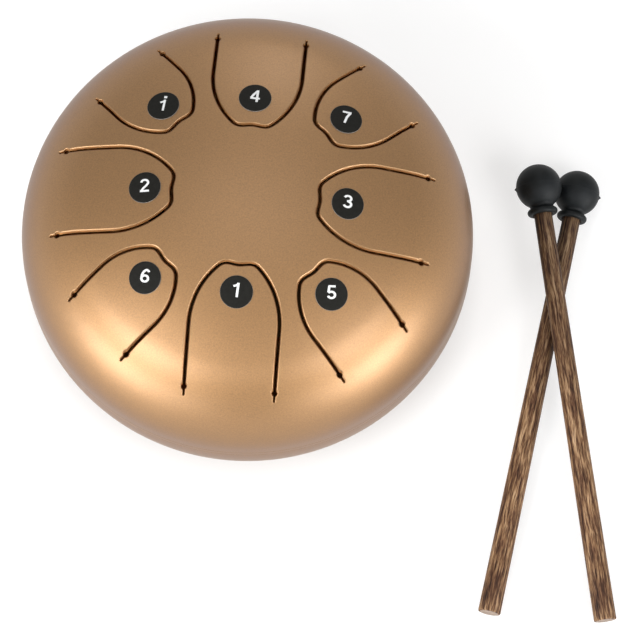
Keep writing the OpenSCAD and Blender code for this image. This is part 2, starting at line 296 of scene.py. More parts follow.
def tongue_half_path(i):
    """Right half of the tongue's own edge, from the middle of the tip to the root."""
    centre = (half_width(i), root_at(i))
    meet = math.acos(SLOT_W / 2 / HOLE_R)
    hole = arc(centre, HOLE_R, meet - math.pi, -math.pi, 6)[1:]
    return np.vstack([half_outline(i, -SLOT_W / 2), hole])


def shell_half_path(i):
    """Right half of the shell's edge round the tongue: outline, end hole, fine tail, and hole again."""
    centre = (half_width(i), root_at(i))
    meet = math.acos(SLOT_W / 2 / HOLE_R)
    open_at = math.acos(TAIL_HALF / HOLE_R)
    outer = arc(centre, HOLE_R, -meet, open_at, 12)[1:]
    tail_end = arc((centre[0], centre[1] + TAIL_L - TAIL_HALF), TAIL_HALF, 0, math.pi, 7)
    inner = arc(centre, HOLE_R, math.pi - open_at, math.pi, 8)
    return np.vstack([half_outline(i, SLOT_W / 2), outer, tail_end, inner])


def full_path(half):
    """Both halves in one line, from the left end of the root to the right end."""
    return np.vstack([half[:0:-1] * [-1, 1], half])


def miters(path, side):
    """Steps that move a path sideways by one unit, to the left for side 1 and to the right for -1."""
    step = unit(np.diff(path, axis=0))
    normal = side * np.column_stack([-step[:, 1], step[:, 0]])
    before, after = normal[:-1], normal[1:]
    inner = (before + after) / (1 + (before * after).sum(1))[:, None]
    inner /= np.maximum(np.linalg.norm(inner, axis=1) / MITER_MOST, 1)[:, None]
    # The ends lie on the root line and move along it, towards its middle
    return np.vstack([[1, 0], inner, [-1, 0]])


def to_plan(i, local):
    """From a tongue's own [across, outwards] to the drum's plan."""
    a = math.radians(TONGUE_TURN * i)
    across, outwards = local[:, 0], local[:, 1]
    return np.column_stack([outwards * math.sin(a) + across * math.cos(a),
                            -outwards * math.cos(a) + across * math.sin(a)])


# Meshes

def unit(rows):
    """Rows of numbers scaled to length one."""
    return rows / np.maximum(np.linalg.norm(rows, axis=1), 1e-9)[:, None]


class Build:
    """Collects points, faces, and a normal for each corner of a face."""

    def __init__(self):
        self.points, self.faces, self.normals, self.slots = [], [], [], []

    def add_points(self, points):
        """Adds points and returns their numbers."""
        first = len(self.points)
        self.points.extend(np.asarray(points).tolist())
        return np.arange(first, len(self.points))

    def add_face(self, corners, normals, slot=0):
        """Adds a face, with its corners in the order that faces the way its normals do."""
        corners = [int(c) for c in corners]
        p = np.array([self.points[c] for c in corners])
        facing = np.cross(p[1] - p[0], p[2] - p[0])
        if facing @ np.sum(normals, axis=0) < 0:
            corners, normals = corners[::-1], normals[::-1]
        self.faces.append(corners)
        self.normals.extend([list(n) for n in normals])
        self.slots.append(slot)

    def add_strip(self, low, high, low_normals, high_normals, slot=0, closed=False):
        """Four-sided faces between two rows of points."""
        count = len(low)
        for j in range(count if closed else count - 1):
            k = (j + 1) % count
            self.add_face([low[j], low[k], high[k], high[j]],
                          [low_normals[j], low_normals[k], high_normals[k], high_normals[j]], slot)

    def mesh(self, name, materials, matrix=None):
        """Makes the object, in metres, with smooth shading from the collected normals."""
        data = bpy.data.meshes.new(name)
        data.from_pydata([[x * MM for x in p] for p in self.points], [], self.faces)
        data.polygons.foreach_set("use_smooth", [True] * len(self.faces))
        data.polygons.foreach_set("material_index", self.slots)
        for material in materials:
            data.materials.append(material)
        data.update()
        data.normals_split_custom_set(unit(np.array(self.normals)).tolist())
        piece = bpy.data.objects.new(name, data)
        bpy.context.collection.objects.link(piece)
        if matrix is not None:
            piece.matrix_world = matrix
        return piece


def triangles_inside(loops, holes, extra):
    """Triangles in a flat region: loops bound it, holes are left out, extra points lie inside."""
    points = np.vstack([*loops, extra]) if len(extra) else np.vstack(loops)
    edges, first = [], 0
    for loop in loops:
        n = len(loop)
        edges += [(first + k, first + (k + 1) % n) for k in range(n)]
        first += n
    flat = [Vector(p) for p in points]
    out = delaunay_2d_cdt(flat, edges, [], 1, 1e-6)
    source = [ids[0] if ids else -1 for ids in out[3]]
    tris = np.array([[source[k] for k in face] for face in out[2] if len(face) == 3])
    tris = tris[(tris >= 0).all(1)]
    centres = points[tris].mean(1)
    keep = np.ones(len(tris), bool)
    for hole in holes:
        keep &= ~inside(centres, hole)
    return tris[keep]


def inside(points, polygon):
    """Which points lie in a closed polygon."""
    x, y = points[:, 0][:, None], points[:, 1][:, None]
    a, b = polygon, np.roll(polygon, -1, axis=0)
    crosses = (a[:, 1] > y) != (b[:, 1] > y)
    slope = (b[:, 0] - a[:, 0]) / np.where(b[:, 1] == a[:, 1], 1e-12, b[:, 1] - a[:, 1])
    return (crosses & (x < a[:, 0] + slope * (y - a[:, 1]))).sum(1) % 2 == 1


def far_from(points, others, gap):
    """Which points are further than gap from all the others."""
    return np.array([np.min(np.hypot(*(others - p).T)) > gap for p in points], bool)


def polar_grid(limit, step):
    """Points on rings out to a limit, about a step apart."""
    rings = [np.zeros((1, 2))]
    count = int(round(limit / step))
    for ring in range(1, count):
        radius = limit * ring / count
        n = max(6, int(round(2 * math.pi * radius / step)))
        turn = 2 * math.pi * (np.arange(n) + 0.5 * (ring % 2)) / n
        rings.append(radius * np.column_stack([np.cos(turn), np.sin(turn)]))
    return np.vstack(rings)


def root_line(i):
    """Points between the rounded edges at the two ends of a tongue's root, from right to left."""
    reach = half_width(i) - HOLE_R - EDGE_R
    return np.column_stack([np.linspace(reach, -reach, 17)[1:-1], np.full(15, root_at(i))])


def edge_rows(build, i, path, side):
    """Rounded edge along one side of a cut. Returns the outermost row in plan and as points,
    the sharp row in plan, its points, and its directions into the cut."""
    away = miters(path, side)
    into_cut = np.column_stack([to_plan(i, -unit(away)), np.zeros(len(path))])
    previous = None
    for offset, drop, tilt in EDGE_SECTION:
        plan = to_plan(i, path + away * EDGE_R * offset)
        points, normals = lift(TOP_OUT, plan)
        points[:, 2] -= EDGE_R * drop
        shade = into_cut * math.sin(math.radians(tilt)) + normals * math.cos(math.radians(tilt))
        row = build.add_points(points)
        if previous is not None:
            build.add_strip(previous[0], row, previous[1], shade)
        else:
            sharp = row
        previous = (row, shade)
    return plan, row, sharp, into_cut


def add_under(build, loops, holes, extra, edges):
    """Inner face of the sheet, from loops of its flat pattern, and the walls of the cuts down to it."""
    rows = [build.add_points(roll_up(TOP_IN, loop)[0]) for loop in [*loops, extra]]
    order = np.concatenate(rows)
    normals = roll_up(TOP_IN, np.vstack([*loops, extra]))[1]
    for tri in triangles_inside(loops, holes, extra):
        build.add_face(order[tri], [-normals[k] for k in tri], 1)
    for row, (sharp, into_cut) in zip(rows, edges):
        build.add_strip(row[:len(sharp)], sharp, into_cut, into_cut, 1)
    return rows


def make_tongue(i, paint, lining):
    """One tongue out to its root line, where its points are the shell's own."""
    build = Build()
    path = full_path(tongue_half_path(i))
    plan, row, sharp, into_cut = edge_rows(build, i, path, 1)
    root = to_plan(i, root_line(i))
    loop = np.vstack([plan, root])
    root_row = build.add_points(lift(TOP_OUT, root)[0])
    reach = half_width(i) * GRID_REACH
    across, outwards = np.meshgrid(np.arange(-reach, reach, TONGUE_STEP), np.arange(*GRID_SPAN, TONGUE_STEP))
    grid = to_plan(i, np.column_stack([across.ravel(), outwards.ravel()]))
    grid = grid[inside(grid, loop)]
    grid = grid[far_from(grid, loop, EDGE_CLEAR)]
    order = np.concatenate([row, root_row, build.add_points(lift(TOP_OUT, grid)[0])])
    normals = lift(TOP_OUT, np.vstack([loop, grid]))[1]
    for tri in triangles_inside([unroll(TOP_OUT, loop)], [], unroll(TOP_OUT, grid)):
        build.add_face(order[tri], [normals[k] for k in tri])
    under = unroll(TOP_IN, np.vstack([to_plan(i, path), root]))
    add_under(build, [under], [], unroll(TOP_IN, grid), [(sharp, into_cut)])
    piece = build.mesh(f"tongue_skin_{NOTES[i]}", [paint, lining])
    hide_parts(f"tongue_{NOTES[i]}")
    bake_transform(piece)
    return piece


def circle(radius, count=SECTORS):
    """Points round the axis in plan."""
    turn = 2 * math.pi * np.arange(count) / count
    return radius * np.column_stack([np.cos(turn), np.sin(turn)])


def ring_points(radius, z):
    """Points round the axis at one height."""
    return np.column_stack([circle(radius), np.full(SECTORS, z)])


def ring_normals(out, up):
    """Directions round the axis, from their outward and upward part."""
    return np.column_stack([circle(out), np.full(SECTORS, up)])


def make_shell_top(paint, lining):
    """The pressed dome with its eight cuts."""
    build = Build()
    loops, rows, unders, edges = [], [], [], []
    for i in range(len(NOTES)):
        path = full_path(shell_half_path(i))
        plan, row, sharp, into_cut = edge_rows(build, i, path, -1)
        root = to_plan(i, root_line(i))
        root_row = build.add_points(lift(TOP_OUT, root)[0])
        loops.append(np.vstack([plan, root]))
        rows.append(np.concatenate([row, root_row]))
        unders.append(np.vstack([to_plan(i, path), root]))
        edges.append((sharp, into_cut))
    rim_length = TOP_OUT.length - WELD_HALF - RIM_ROUND
    flat_holes = [unroll(TOP_OUT, loop) for loop in loops]
    grid = clear_grid(polar_grid(rim_length, DOME_STEP), flat_holes)
    rim = circle(rim_length)
    flat_points = np.vstack([*flat_holes, rim, grid])
    rows.append(build.add_points(roll_up(TOP_OUT, rim)[0]))
    rows.append(build.add_points(roll_up(TOP_OUT, grid)[0]))
    order, normals = np.concatenate(rows), roll_up(TOP_OUT, flat_points)[1]
    for tri in triangles_inside([*flat_holes, rim], flat_holes, grid):
        build.add_face(order[tri], [normals[k] for k in tri])
    inner_rim = circle(TOP_IN.length - WELD_HALF)
    inner_holes = [unroll(TOP_IN, loop) for loop in unders]
    inner_grid = clear_grid(polar_grid(TOP_IN.length - WELD_HALF, UNDER_STEP), inner_holes)
    under_rows = add_under(build, [*inner_holes, inner_rim], inner_holes, inner_grid, edges)
    close_rim(build, rows[len(NOTES)], under_rows[len(NOTES)])
    piece = build.mesh("shell_top", [paint, lining])
    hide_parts("upper_shell")
    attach(piece, "drum")


def clear_grid(grid, holes):
    """The grid's points that lie outside the holes and not close to their edges."""
    for hole in holes:
        grid = grid[~inside(grid, hole)]
    return grid[far_from(grid, np.vstack(holes), EDGE_CLEAR)]


def close_rim(build, outer, inner):
    """Small rounding where the dome ends at the weld, and the flat edge of the sheet."""
    z = SEAM_Z + WELD_HALF
    middle = build.add_points(ring_points(DRUM_R - RIM_INSET, z + RIM_STEP))
    low = build.add_points(ring_points(DRUM_R - RIM_FLAT, z))
    side, slant, down = ring_normals(1, 0), ring_normals(0.7, -0.7), ring_normals(0, -1)
    build.add_strip(outer, middle, side, slant, closed=True)
    build.add_strip(middle, low, slant, down, closed=True)
    build.add_strip(low, inner, down, down, closed=True)


# Revolved pieces

def profile_normals(profile, closed):
    """Normals of the segments after and before each point of a profile of [radius, height].
    They point out of the region that the profile encloses, with the axis where it is open."""
    following = np.roll(profile, -1, axis=0)
    step = following - profile
    area = (profile[:, 0] * following[:, 1] - following[:, 0] * profile[:, 1]).sum()
    if not closed:
        step[-1] = step[-2]
    normal = unit(math.copysign(1, area) * np.column_stack([step[:, 1], -step[:, 0]]))
    before = np.roll(normal, 1, axis=0)
    if not closed:
        before[0] = normal[0]
    return normal, before


def revolve(build, profile, slots=None, closed=False, sectors=SECTORS, sharp=35):
    """Turns a profile round the Z axis. Corners sharper than the limit in degrees stay sharp."""
    profile = np.array(profile, float)
    after, before = profile_normals(profile, closed)
    smooth = (after * before).sum(1) > math.cos(math.radians(sharp))
    mean = after + before
    mean[profile[:, 0] < 1e-6, 0] = 0
    starts = np.where(smooth[:, None], mean, after)
    stops = np.where(smooth[:, None], mean, before)
    ring = circle(1, sectors)
    rows = []
    for radius, height in profile:
        if radius < 1e-6:
            rows.append(np.repeat(build.add_points([[0, 0, height]]), sectors))
        else:
            rows.append(build.add_points(np.column_stack([ring * radius, np.full(sectors, height)])))
    count = len(profile)
    for j in range(count if closed else count - 1):
        k = (j + 1) % count
        low = np.column_stack([ring * starts[j][0], np.full(sectors, starts[j][1])])
        high = np.column_stack([ring * stops[k][0], np.full(sectors, stops[k][1])])
        add_band(build, rows[j], rows[k], low, high, slots[j] if slots else 0)


def add_band(build, low, high, low_normals, high_normals, slot):
    """One band of a revolved piece, with triangles where it closes on the axis."""
    count = len(low)
    for m in range(count):
        n = (m + 1) % count
        corners = [(low[m], low_normals[m]), (low[n], low_normals[n]),
                   (high[n], high_normals[n]), (high[m], high_normals[m])]
        if low[m] == low[n]:
            del corners[1]
        elif high[m] == high[n]:
            del corners[2]
        build.add_face([corner for corner, _ in corners], [normal for _, normal in corners], slot)


def base_curve(wall, start, stop, count):
    """Points [radius, height] of the lower half between two lengths along its wall."""
    rho, height, _, _ = wall.at(np.linspace(start, stop, count))
    return np.column_stack([rho, SEAM_Z - height])


def make_base(paint, lining):
    """The lower shell, with a rolled edge round the sound hole."""
    edge, seam = HOLE_EDGE_R, SEAM_Z - WELD_HALF
    hole_out = BASE_OUT.along(SOUND_HOLE_R + edge)
    hole_in = BASE_IN.along(SOUND_HOLE_R + edge)
    outer = base_curve(BASE_OUT, BASE_OUT.length - WELD_HALF - RIM_ROUND, hole_out, 70)
    inner = base_curve(BASE_IN, hole_in, BASE_IN.length - WELD_HALF, 50)
    low, high = outer[-1][1], inner[0][1]
    turn = np.radians([25, 50, 75, 90])
    lower_round = np.column_stack([SOUND_HOLE_R + edge - edge * np.sin(turn),
                                   low + edge * (1 - np.cos(turn))])
    upper_round = np.column_stack([SOUND_HOLE_R + edge - edge * np.sin(turn[::-1]),
                                   high - edge * (1 - np.cos(turn[::-1]))])
    rim = [[DRUM_R - SHEET, seam], [DRUM_R - RIM_FLAT, seam], [DRUM_R - RIM_INSET, seam - RIM_STEP]]
    build = Build()
    outside = len(rim) + len(outer) + len(lower_round)
    slots = [0] * outside + [1] * (len(upper_round) + len(inner) - 1)
    revolve(build, np.vstack([rim, outer, lower_round, upper_round, inner[:-1]]), slots=slots, closed=True)
    piece = build.mesh("shell_base", [paint, lining])
    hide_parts("lower_shell")
    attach(piece, "drum")


def make_weld(paint):
    """The weld, ground and painted over: its face swells between two fine grooves along the shells' rims."""
    inside_r = DRUM_R - SHEET
    profile = [[inside_r, SEAM_Z + WELD_HALF], [inside_r, SEAM_Z - WELD_HALF]]
    profile += [[DRUM_R - depth, SEAM_Z + WELD_HALF * share] for depth, share in WELD_FACE]
    build = Build()
    revolve(build, profile, closed=True)
    piece = build.mesh("seam_bead", [paint])
    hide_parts("seam_weld")
    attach(piece, "drum")


# Discs and their numbers

def dome_frame(i):
    """Turns the Z axis to the direction in which the crown's centre sees disc i."""
    tilt = math.asin(DISC_SHARE[i] * DRUM_R / CROWN_R)
    heading = math.radians(TONGUE_TURN * i)
    return np.array(Matrix.Rotation(heading, 3, "Z") @ Matrix.Rotation(tilt, 3, "X"))


def bend_to_dome(i, points):
    """Points [x, y, height] laid round the middle of disc i on the crown, and their outward directions."""
    points = np.asarray(points, float)
    rho = np.hypot(points[:, 0], points[:, 1])
    angle = rho / CROWN_R
    radial = points[:, :2] / np.maximum(rho, 1e-9)[:, None]
    outwards = np.column_stack([radial * np.sin(angle)[:, None], np.cos(angle)]) @ dome_frame(i).T
    placed = outwards * (CROWN_R + points[:, 2])[:, None]
    placed[:, 2] += CROWN_CENTRE_Z
    return placed, outwards


def make_disc(i, film, cut_edge):
    """Printed film disc, bent to the dome, with a slightly rounded cut edge."""
    top = GLUE + FILM
    profile = [[radius, top - depth] for radius, depth in DISC_PROFILE]
    profile += [[DISC_R, DISC_UNDERSIDE], [0, DISC_UNDERSIDE]]
    build = Build()
    revolve(build, profile, slots=[0, 0, 0, 0, 0, 1, 1, 0], sectors=96)
    placed, outwards = bend_to_dome(i, build.points)
    frame_i = dome_frame(i)
    corners = [c for face in build.faces for c in face]
    flat = unit(np.array(build.normals))
    up = flat[:, 2:3]
    build.normals = list((np.column_stack([flat[:, :2], np.zeros(len(flat))]) @ frame_i.T)
                         + up * outwards[corners])
    build.points = placed.tolist()
    piece = build.mesh(f"disc_film_{NOTES[i]}", [film, cut_edge])
    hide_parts(f"note_disc_{NOTES[i]}")
    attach(piece, f"tongue_{NOTES[i]}")


def stroke(points, width):
    """Left and right edge of a ribbon along a line, mitred where it turns."""
    line = np.array(points, float)
    step = unit(np.diff(line, axis=0))
    normal = np.column_stack([-step[:, 1], step[:, 0]])
    both = np.vstack([normal[:1], normal[:-1] + normal[1:], normal[-1:]])
    scale = 1 + (normal[:-1] * normal[1:]).sum(1)
    both[1:-1] /= np.maximum(scale, 0.5)[:, None]
    return line + both * width / 2, line - both * width / 2


def bow(cx, cy, rx, ry, start, stop, count=14):
    """Points on an ellipse's arc, angles in degrees anticlockwise from the right."""
    turn = np.radians(np.linspace(start, stop, count))
    return [(cx + rx * math.cos(t), cy + ry * math.sin(t)) for t in turn]


# Centre lines of the numbers in a box one unit high
NUMBERS = {
    "1": [[(0.36, 0.0), (0.36, 0.55), (0.36, 1.0)], [(0.37, 0.93), (0.27, 0.82), (0.08, 0.73)]],
    "2": [bow(0.31, 0.70, 0.215, 0.215, 170, -25, 16) + [(0.40, 0.47), (0.22, 0.28), (0.11, 0.085)],
          [(0.03, 0.085), (0.30, 0.085), (0.59, 0.085)]],
    "3": [bow(0.29, 0.72, 0.205, 0.195, 160, -75, 14), bow(0.29, 0.295, 0.225, 0.21, 85, -162, 18),
          [(0.24, 0.525), (0.33, 0.525)]],
    "4": [[(0.43, 0.0), (0.43, 0.5), (0.43, 1.0)], [(0.40, 0.93), (0.22, 0.64), (0.08, 0.36)],
          [(0.02, 0.30), (0.30, 0.30), (0.60, 0.30)]],
    "5": [[(0.54, 0.915), (0.35, 0.915), (0.15, 0.915)], [(0.17, 0.95), (0.14, 0.70), (0.11, 0.47)],
          bow(0.30, 0.31, 0.215, 0.225, 145, -160, 20)],
    "6": [bow(0.31, 0.30, 0.205, 0.215, 0, 360, 30), bow(0.42, 0.36, 0.315, 0.555, 178, 96, 14)
          + [(0.49, 0.85), (0.54, 0.77)]],
    "7": [[(0.04, 0.915), (0.30, 0.915), (0.58, 0.915)], [(0.52, 0.89), (0.33, 0.50), (0.23, 0.0)]],
}


def make_number(i, ink):
    """The printed number on disc i: strokes with a little thickness, standing on the film."""
    name = NOTES[i].replace("high_", "")
    is_high = NOTES[i] != name
    turn = math.radians(VIEW_TURN - TONGUE_TURN * i - NUMBER_LEAN[i])
    cos, sin = math.cos(turn), math.sin(turn)
    low, high = GLUE + FILM - INK_BELOW, GLUE + FILM + INK_ABOVE
    build = Build()
    lines = [stroke(line, NUMBER_STROKE) for line in NUMBERS[name]]
    if is_high:
        lines.append(stroke(DOT, DOT_W))
    shift = HIGH_SHIFT if is_high else 0
    size = DIGIT_H * (HIGH_SIZE if is_high else 1)
    for left, right in lines:
        rows = []
        for edge, height in ((left, low), (left, high), (right, high), (right, low)):
            flat = (edge - NUMBER_MIDDLE + [0, shift]) * [NUMBER_WIDEN * size, size]
            across, upward = flat[:, 0] * cos - flat[:, 1] * sin, flat[:, 0] * sin + flat[:, 1] * cos
            rows.append(bend_to_dome(i, np.column_stack([across, upward, np.full(len(flat), height)])))
        add_ribbon(build, rows)
    piece = build.mesh(f"number_print_{NOTES[i]}", [ink])
    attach(piece, f"tongue_{NOTES[i]}")


def add_ribbon(build, rows):
    """Closed ribbon with four rows of points, its ends capped."""
    ids = [build.add_points(points) for points, _ in rows]
    up = rows[0][1]
    across = unit(rows[0][0] - rows[3][0])
    build.add_strip(ids[1], ids[2], up, up)
    build.add_strip(ids[3], ids[0], -up, -up)
    build.add_strip(ids[0], ids[1], across, across)
    build.add_strip(ids[2], ids[3], -across, -across)
    for end, inner in ((0, 1), (-1, -2)):
        out = rows[0][0][end] - rows[0][0][inner]
        build.add_face([row[end] for row in ids], [out] * 4)


# Mallets

def mallet_matrix(ball, heading, pitch):
    """From a mallet drawn with its ball at the origin and its butt up the Z axis to where it lies."""
    return (Matrix.Translation([x * MM for x in ball])
            @ Matrix.Rotation(math.radians(-heading), 4, "Z")
            @ Matrix.Rotation(math.radians(90 + pitch), 4, "X"))


def make_stick(name, matrix, wood, sawn):
    """Tapered stick, worn round at the butt's edge."""
    start = COLLAR_END - SOCKET_DEPTH
    profile = [[0, start], [NECK_R, start], [NECK_R, COLLAR_END]]
    steps = np.linspace(0, 1, 12)[1:]
    body_end = MALLET_L - CHAMFER - END_CROWN
    profile += [[NECK_R + (BUTT_R - NECK_R) * s, COLLAR_END + (body_end - COLLAR_END) * s] for s in steps]
    turn = np.radians([30, 60, 85])
    profile += [[BUTT_R - CHAMFER * (1 - math.cos(t)), body_end + CHAMFER * math.sin(t)] for t in turn]
    worn_in, worn_down = END_WORN
    profile += [[BUTT_R - CHAMFER - worn_in, MALLET_L - worn_down], [BUTT_R * 0.5, MALLET_L], [0, MALLET_L]]
    slots = [0] * (len(profile) - 3) + [1, 1]
    build = Build()
    revolve(build, profile, slots=slots, sectors=56, sharp=50)
    piece = build.mesh(f"{name}_stick_turned", [wood, sawn], matrix)
    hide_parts(f"{name}_mallet_stick")
    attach(piece, f"{name}_mallet")


def head_profile():
    """Ball with a faint parting ridge, a crease, the collar's flange, its dished lip and the socket."""
    skin = BALL_R - SKIN
    angles = np.concatenate([np.linspace(-90, -6, 22), [-3, -1.6, -1, -0.5, 0, 0.5, 1, 1.6, 3],
                             np.linspace(6, 57.5, 15)])
    ridge = RIDGE_H * np.exp(-(np.radians(angles) * BALL_R / RIDGE_W) ** 2)
    ball = np.column_stack([(skin + ridge) * np.cos(np.radians(angles)),
                            (skin + ridge) * np.sin(np.radians(angles))])
    ball[0, 0] = 0
    turn = np.radians(np.linspace(-80, 80, 14))
    flange = np.column_stack([COLLAR_R - FLANGE_EDGE + FLANGE_EDGE * np.cos(turn),
                              COLLAR_END - FLANGE_T / 2 + (FLANGE_T / 2) * np.sin(turn)])
    lip = [[NECK_R + out, COLLAR_END - down] for out, down in LIP]
    bottom = COLLAR_END - SOCKET_DEPTH - SOCKET_CLEAR
    socket = [[NECK_R + SOCKET_CLEAR, bottom], [0, bottom]]
    return np.vstack([ball, CREASE, flange, lip, socket])


def make_head(name, matrix, material, nub_side):
    """Moulded rubber head with a nub of flash on the parting ridge."""
    build = Build()
    revolve(build, head_profile(), sectors=112, sharp=60)
    points = np.array(build.points)
    near = np.exp(-((points[:, 1] / NUB_WIDE) ** 2 + (points[:, 2] / NUB_TALL) ** 2))
    near *= (points[:, 0] * nub_side > 0) * (np.hypot(points[:, 0], points[:, 1]) > BALL_R * 0.9)
    points[:, 0] += nub_side * NUB_H * near
    build.points = points.tolist()
    piece = build.mesh(f"{name}_head_moulded", [material], matrix)
    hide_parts(f"{name}_mallet_head")
    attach(piece, f"{name}_mallet")


# Materials

def new_material(name):
    """A material with only a Principled shader, its tree and that shader."""
    material = bpy.data.materials.new(name)
    material.use_nodes = True
    tree = material.node_tree
    tree.nodes.clear()
    shader = tree.nodes.new("ShaderNodeBsdfPrincipled")
    output = tree.nodes.new("ShaderNodeOutputMaterial")
    tree.links.new(shader.outputs[0], output.inputs[0])
    return material, tree, shader


def feed(tree, socket, value):
    """Links an input, or sets it."""
    if isinstance(value, bpy.types.NodeSocket):
        tree.links.new(value, socket)
    else:
        socket.default_value = value


def node(tree, kind, settings=None, **links):
    """A node with values or links for its inputs, by name (underscores for spaces) or as in0, in1..."""
    made = tree.nodes.new(kind)
    for key, value in (settings or {}).items():
        setattr(made, key, value)
    for key, value in links.items():
        feed(tree, made.inputs[int(key[2:]) if key.startswith("in") else key.replace("_", " ")], value)
    return made


def object_place(tree, stretch=(1, 1, 1)):
    """Object coordinates, scaled along each axis."""
    place = node(tree, "ShaderNodeTexCoord").outputs["Object"]
    return node(tree, "ShaderNodeMapping", Vector=place, Scale=stretch).outputs[0]


def noise(tree, place, scale, detail=2.0, rough=0.5, distortion=0.0):
    """Values of a noise from 0 to 1."""
    made = node(tree, "ShaderNodeTexNoise", Vector=place, Scale=scale, Detail=detail, Roughness=rough,
                Distortion=distortion)
    return made.outputs["Fac"]


def ramp(tree, factor, stops):
    """Colours between given positions."""
    made = node(tree, "ShaderNodeValToRGB", Fac=factor)
    line = made.color_ramp
    while len(line.elements) < len(stops):
        line.elements.new(0.5)
    for element, (position, colour) in zip(line.elements, stops):
        element.position = position
        element.color = (*colour, 1) if len(colour) == 3 else colour
    return made.outputs["Color"]


def span(tree, value, low, high, to_low, to_high):
    """A value moved from one range to another."""
    made = node(tree, "ShaderNodeMapRange", in0=value, in1=low, in2=high, in3=to_low, in4=to_high)
    return made.outputs[0]


def mottle_ramp(tree, factor, ends, low=0.3, high=0.7):
    """Colours between a material's dark and light end."""
    return ramp(tree, factor, [(low, ends[0]), (high, ends[1])])


def grey(tree, value):
    """A grey from one value."""
    return node(tree, "ShaderNodeCombineColor", in0=value, in1=value, in2=value).outputs[0]


def calculate(tree, operation, a, b):
    """One step of arithmetic."""
    return node(tree, "ShaderNodeMath", {"operation": operation}, in0=a, in1=b).outputs[0]


def mix(tree, factor, a, b, blend="MIX"):
    """Two colours mixed or multiplied; each value may be a link."""
    made = node(tree, "ShaderNodeMix", {"data_type": "RGBA", "blend_type": blend})
    for socket, value in ((made.inputs[0], factor), (made.inputs[6], a), (made.inputs[7], b)):
        feed(tree, socket, (*value, 1) if isinstance(value, tuple) else value)
    return made.outputs[2]


def bump(tree, height, strength, distance, normal=None):
    """Normals of a relief, laid over other normals if there are any."""
    made = node(tree, "ShaderNodeBump", Height=height, Strength=strength, Distance=distance)
    if normal is not None:
        tree.links.new(normal, made.inputs["Normal"])
    return made.outputs[0]


def wire(tree, shader, **values):
    """Sets or links a shader's named inputs."""
    for key, value in values.items():
        feed(tree, shader.inputs[key.replace("_", " ")], value)


def bronze_paint():
    """Satin metallic paint with fine flake and a trace of orange peel, dark at grazing angles."""
    material, tree, shader = new_material("bronze_paint")
    place = object_place(tree)
    cloud = noise(tree, place, 22, 2)
    flake = noise(tree, place, 2300, 3, 0.75)
    speck = noise(tree, place, 5200, 1, 0.5)
    tone = mix(tree, cloud, *PAINT)
    colour = mix(tree, 1.0, tone, grey(tree, span(tree, flake, 0.3, 0.7, 0.80, 1.20)), "MULTIPLY")
    peel = bump(tree, noise(tree, place, 420, 2), 0.25, 0.00004)
    grain = bump(tree, flake, 0.35, 0.00003, peel)
    wire(tree, shader, Base_Color=colour, Metallic=1.0, Roughness=span(tree, speck, 0.3, 0.7, 0.44, 0.52),
         Specular_Tint=PAINT_GRAZING, Normal=grain, Coat_Weight=1.0, Coat_Roughness=0.40, Coat_IOR=1.58)
    return material


def inner_paint():
    """Thin paint without flake inside the drum and on the walls of the cuts."""
    material, tree, shader = new_material("inner_paint")
    place = object_place(tree)
    patch = noise(tree, place, 60, 3, 0.6)
    grain = noise(tree, place, 1400, 2, 0.6)
    wire(tree, shader, Base_Color=mottle_ramp(tree, patch, LINING), Metallic=0.2,
         Roughness=span(tree, grain, 0.3, 0.7, 0.5, 0.7), Normal=bump(tree, grain, 0.4, 0.00005))
    return material


def disc_film():
    """Charcoal film with a faint mottle."""
    material, tree, shader = new_material("disc_film")
    place = object_place(tree)
    mottle = noise(tree, place, 900, 3, 0.6)
    wire(tree, shader, Base_Color=mottle_ramp(tree, mottle, FILM_FACE), Specular_IOR_Level=0.1,
         Roughness=span(tree, mottle, 0.3, 0.7, 0.48, 0.6), Normal=bump(tree, mottle, 0.2, 0.00003))
    return material


def film_edge():
    """Cut edge of the film, a little paler than its face."""
    material, tree, shader = new_material("film_edge")
    mottle = noise(tree, object_place(tree), 1500, 2)
    wire(tree, shader, Base_Color=mottle_ramp(tree, mottle, FILM_CUT), Roughness=0.6)
    return material


def number_ink():
    """White ink, a little uneven."""
    material, tree, shader = new_material("number_ink")
    mottle = noise(tree, object_place(tree), 1800, 2)
    wire(tree, shader, Base_Color=mottle_ramp(tree, mottle, INK),
         Roughness=span(tree, mottle, 0.3, 0.7, 0.45, 0.6))
    return material


def rubber(name, colours, rough):
    """Matt moulded rubber with a fine grain and a little bloom."""
    material, tree, shader = new_material(name)
    place = object_place(tree)
    bloom = noise(tree, place, 160, 3, 0.6)
    grain = noise(tree, place, 2600, 2, 0.6)
    wire(tree, shader, Base_Color=mottle_ramp(tree, bloom, colours, 0.35), Specular_IOR_Level=0.17,
         Roughness=span(tree, bloom, 0.3, 0.7, rough, rough + 0.12),
         Normal=bump(tree, grain, 0.3, 0.00004))
    return material


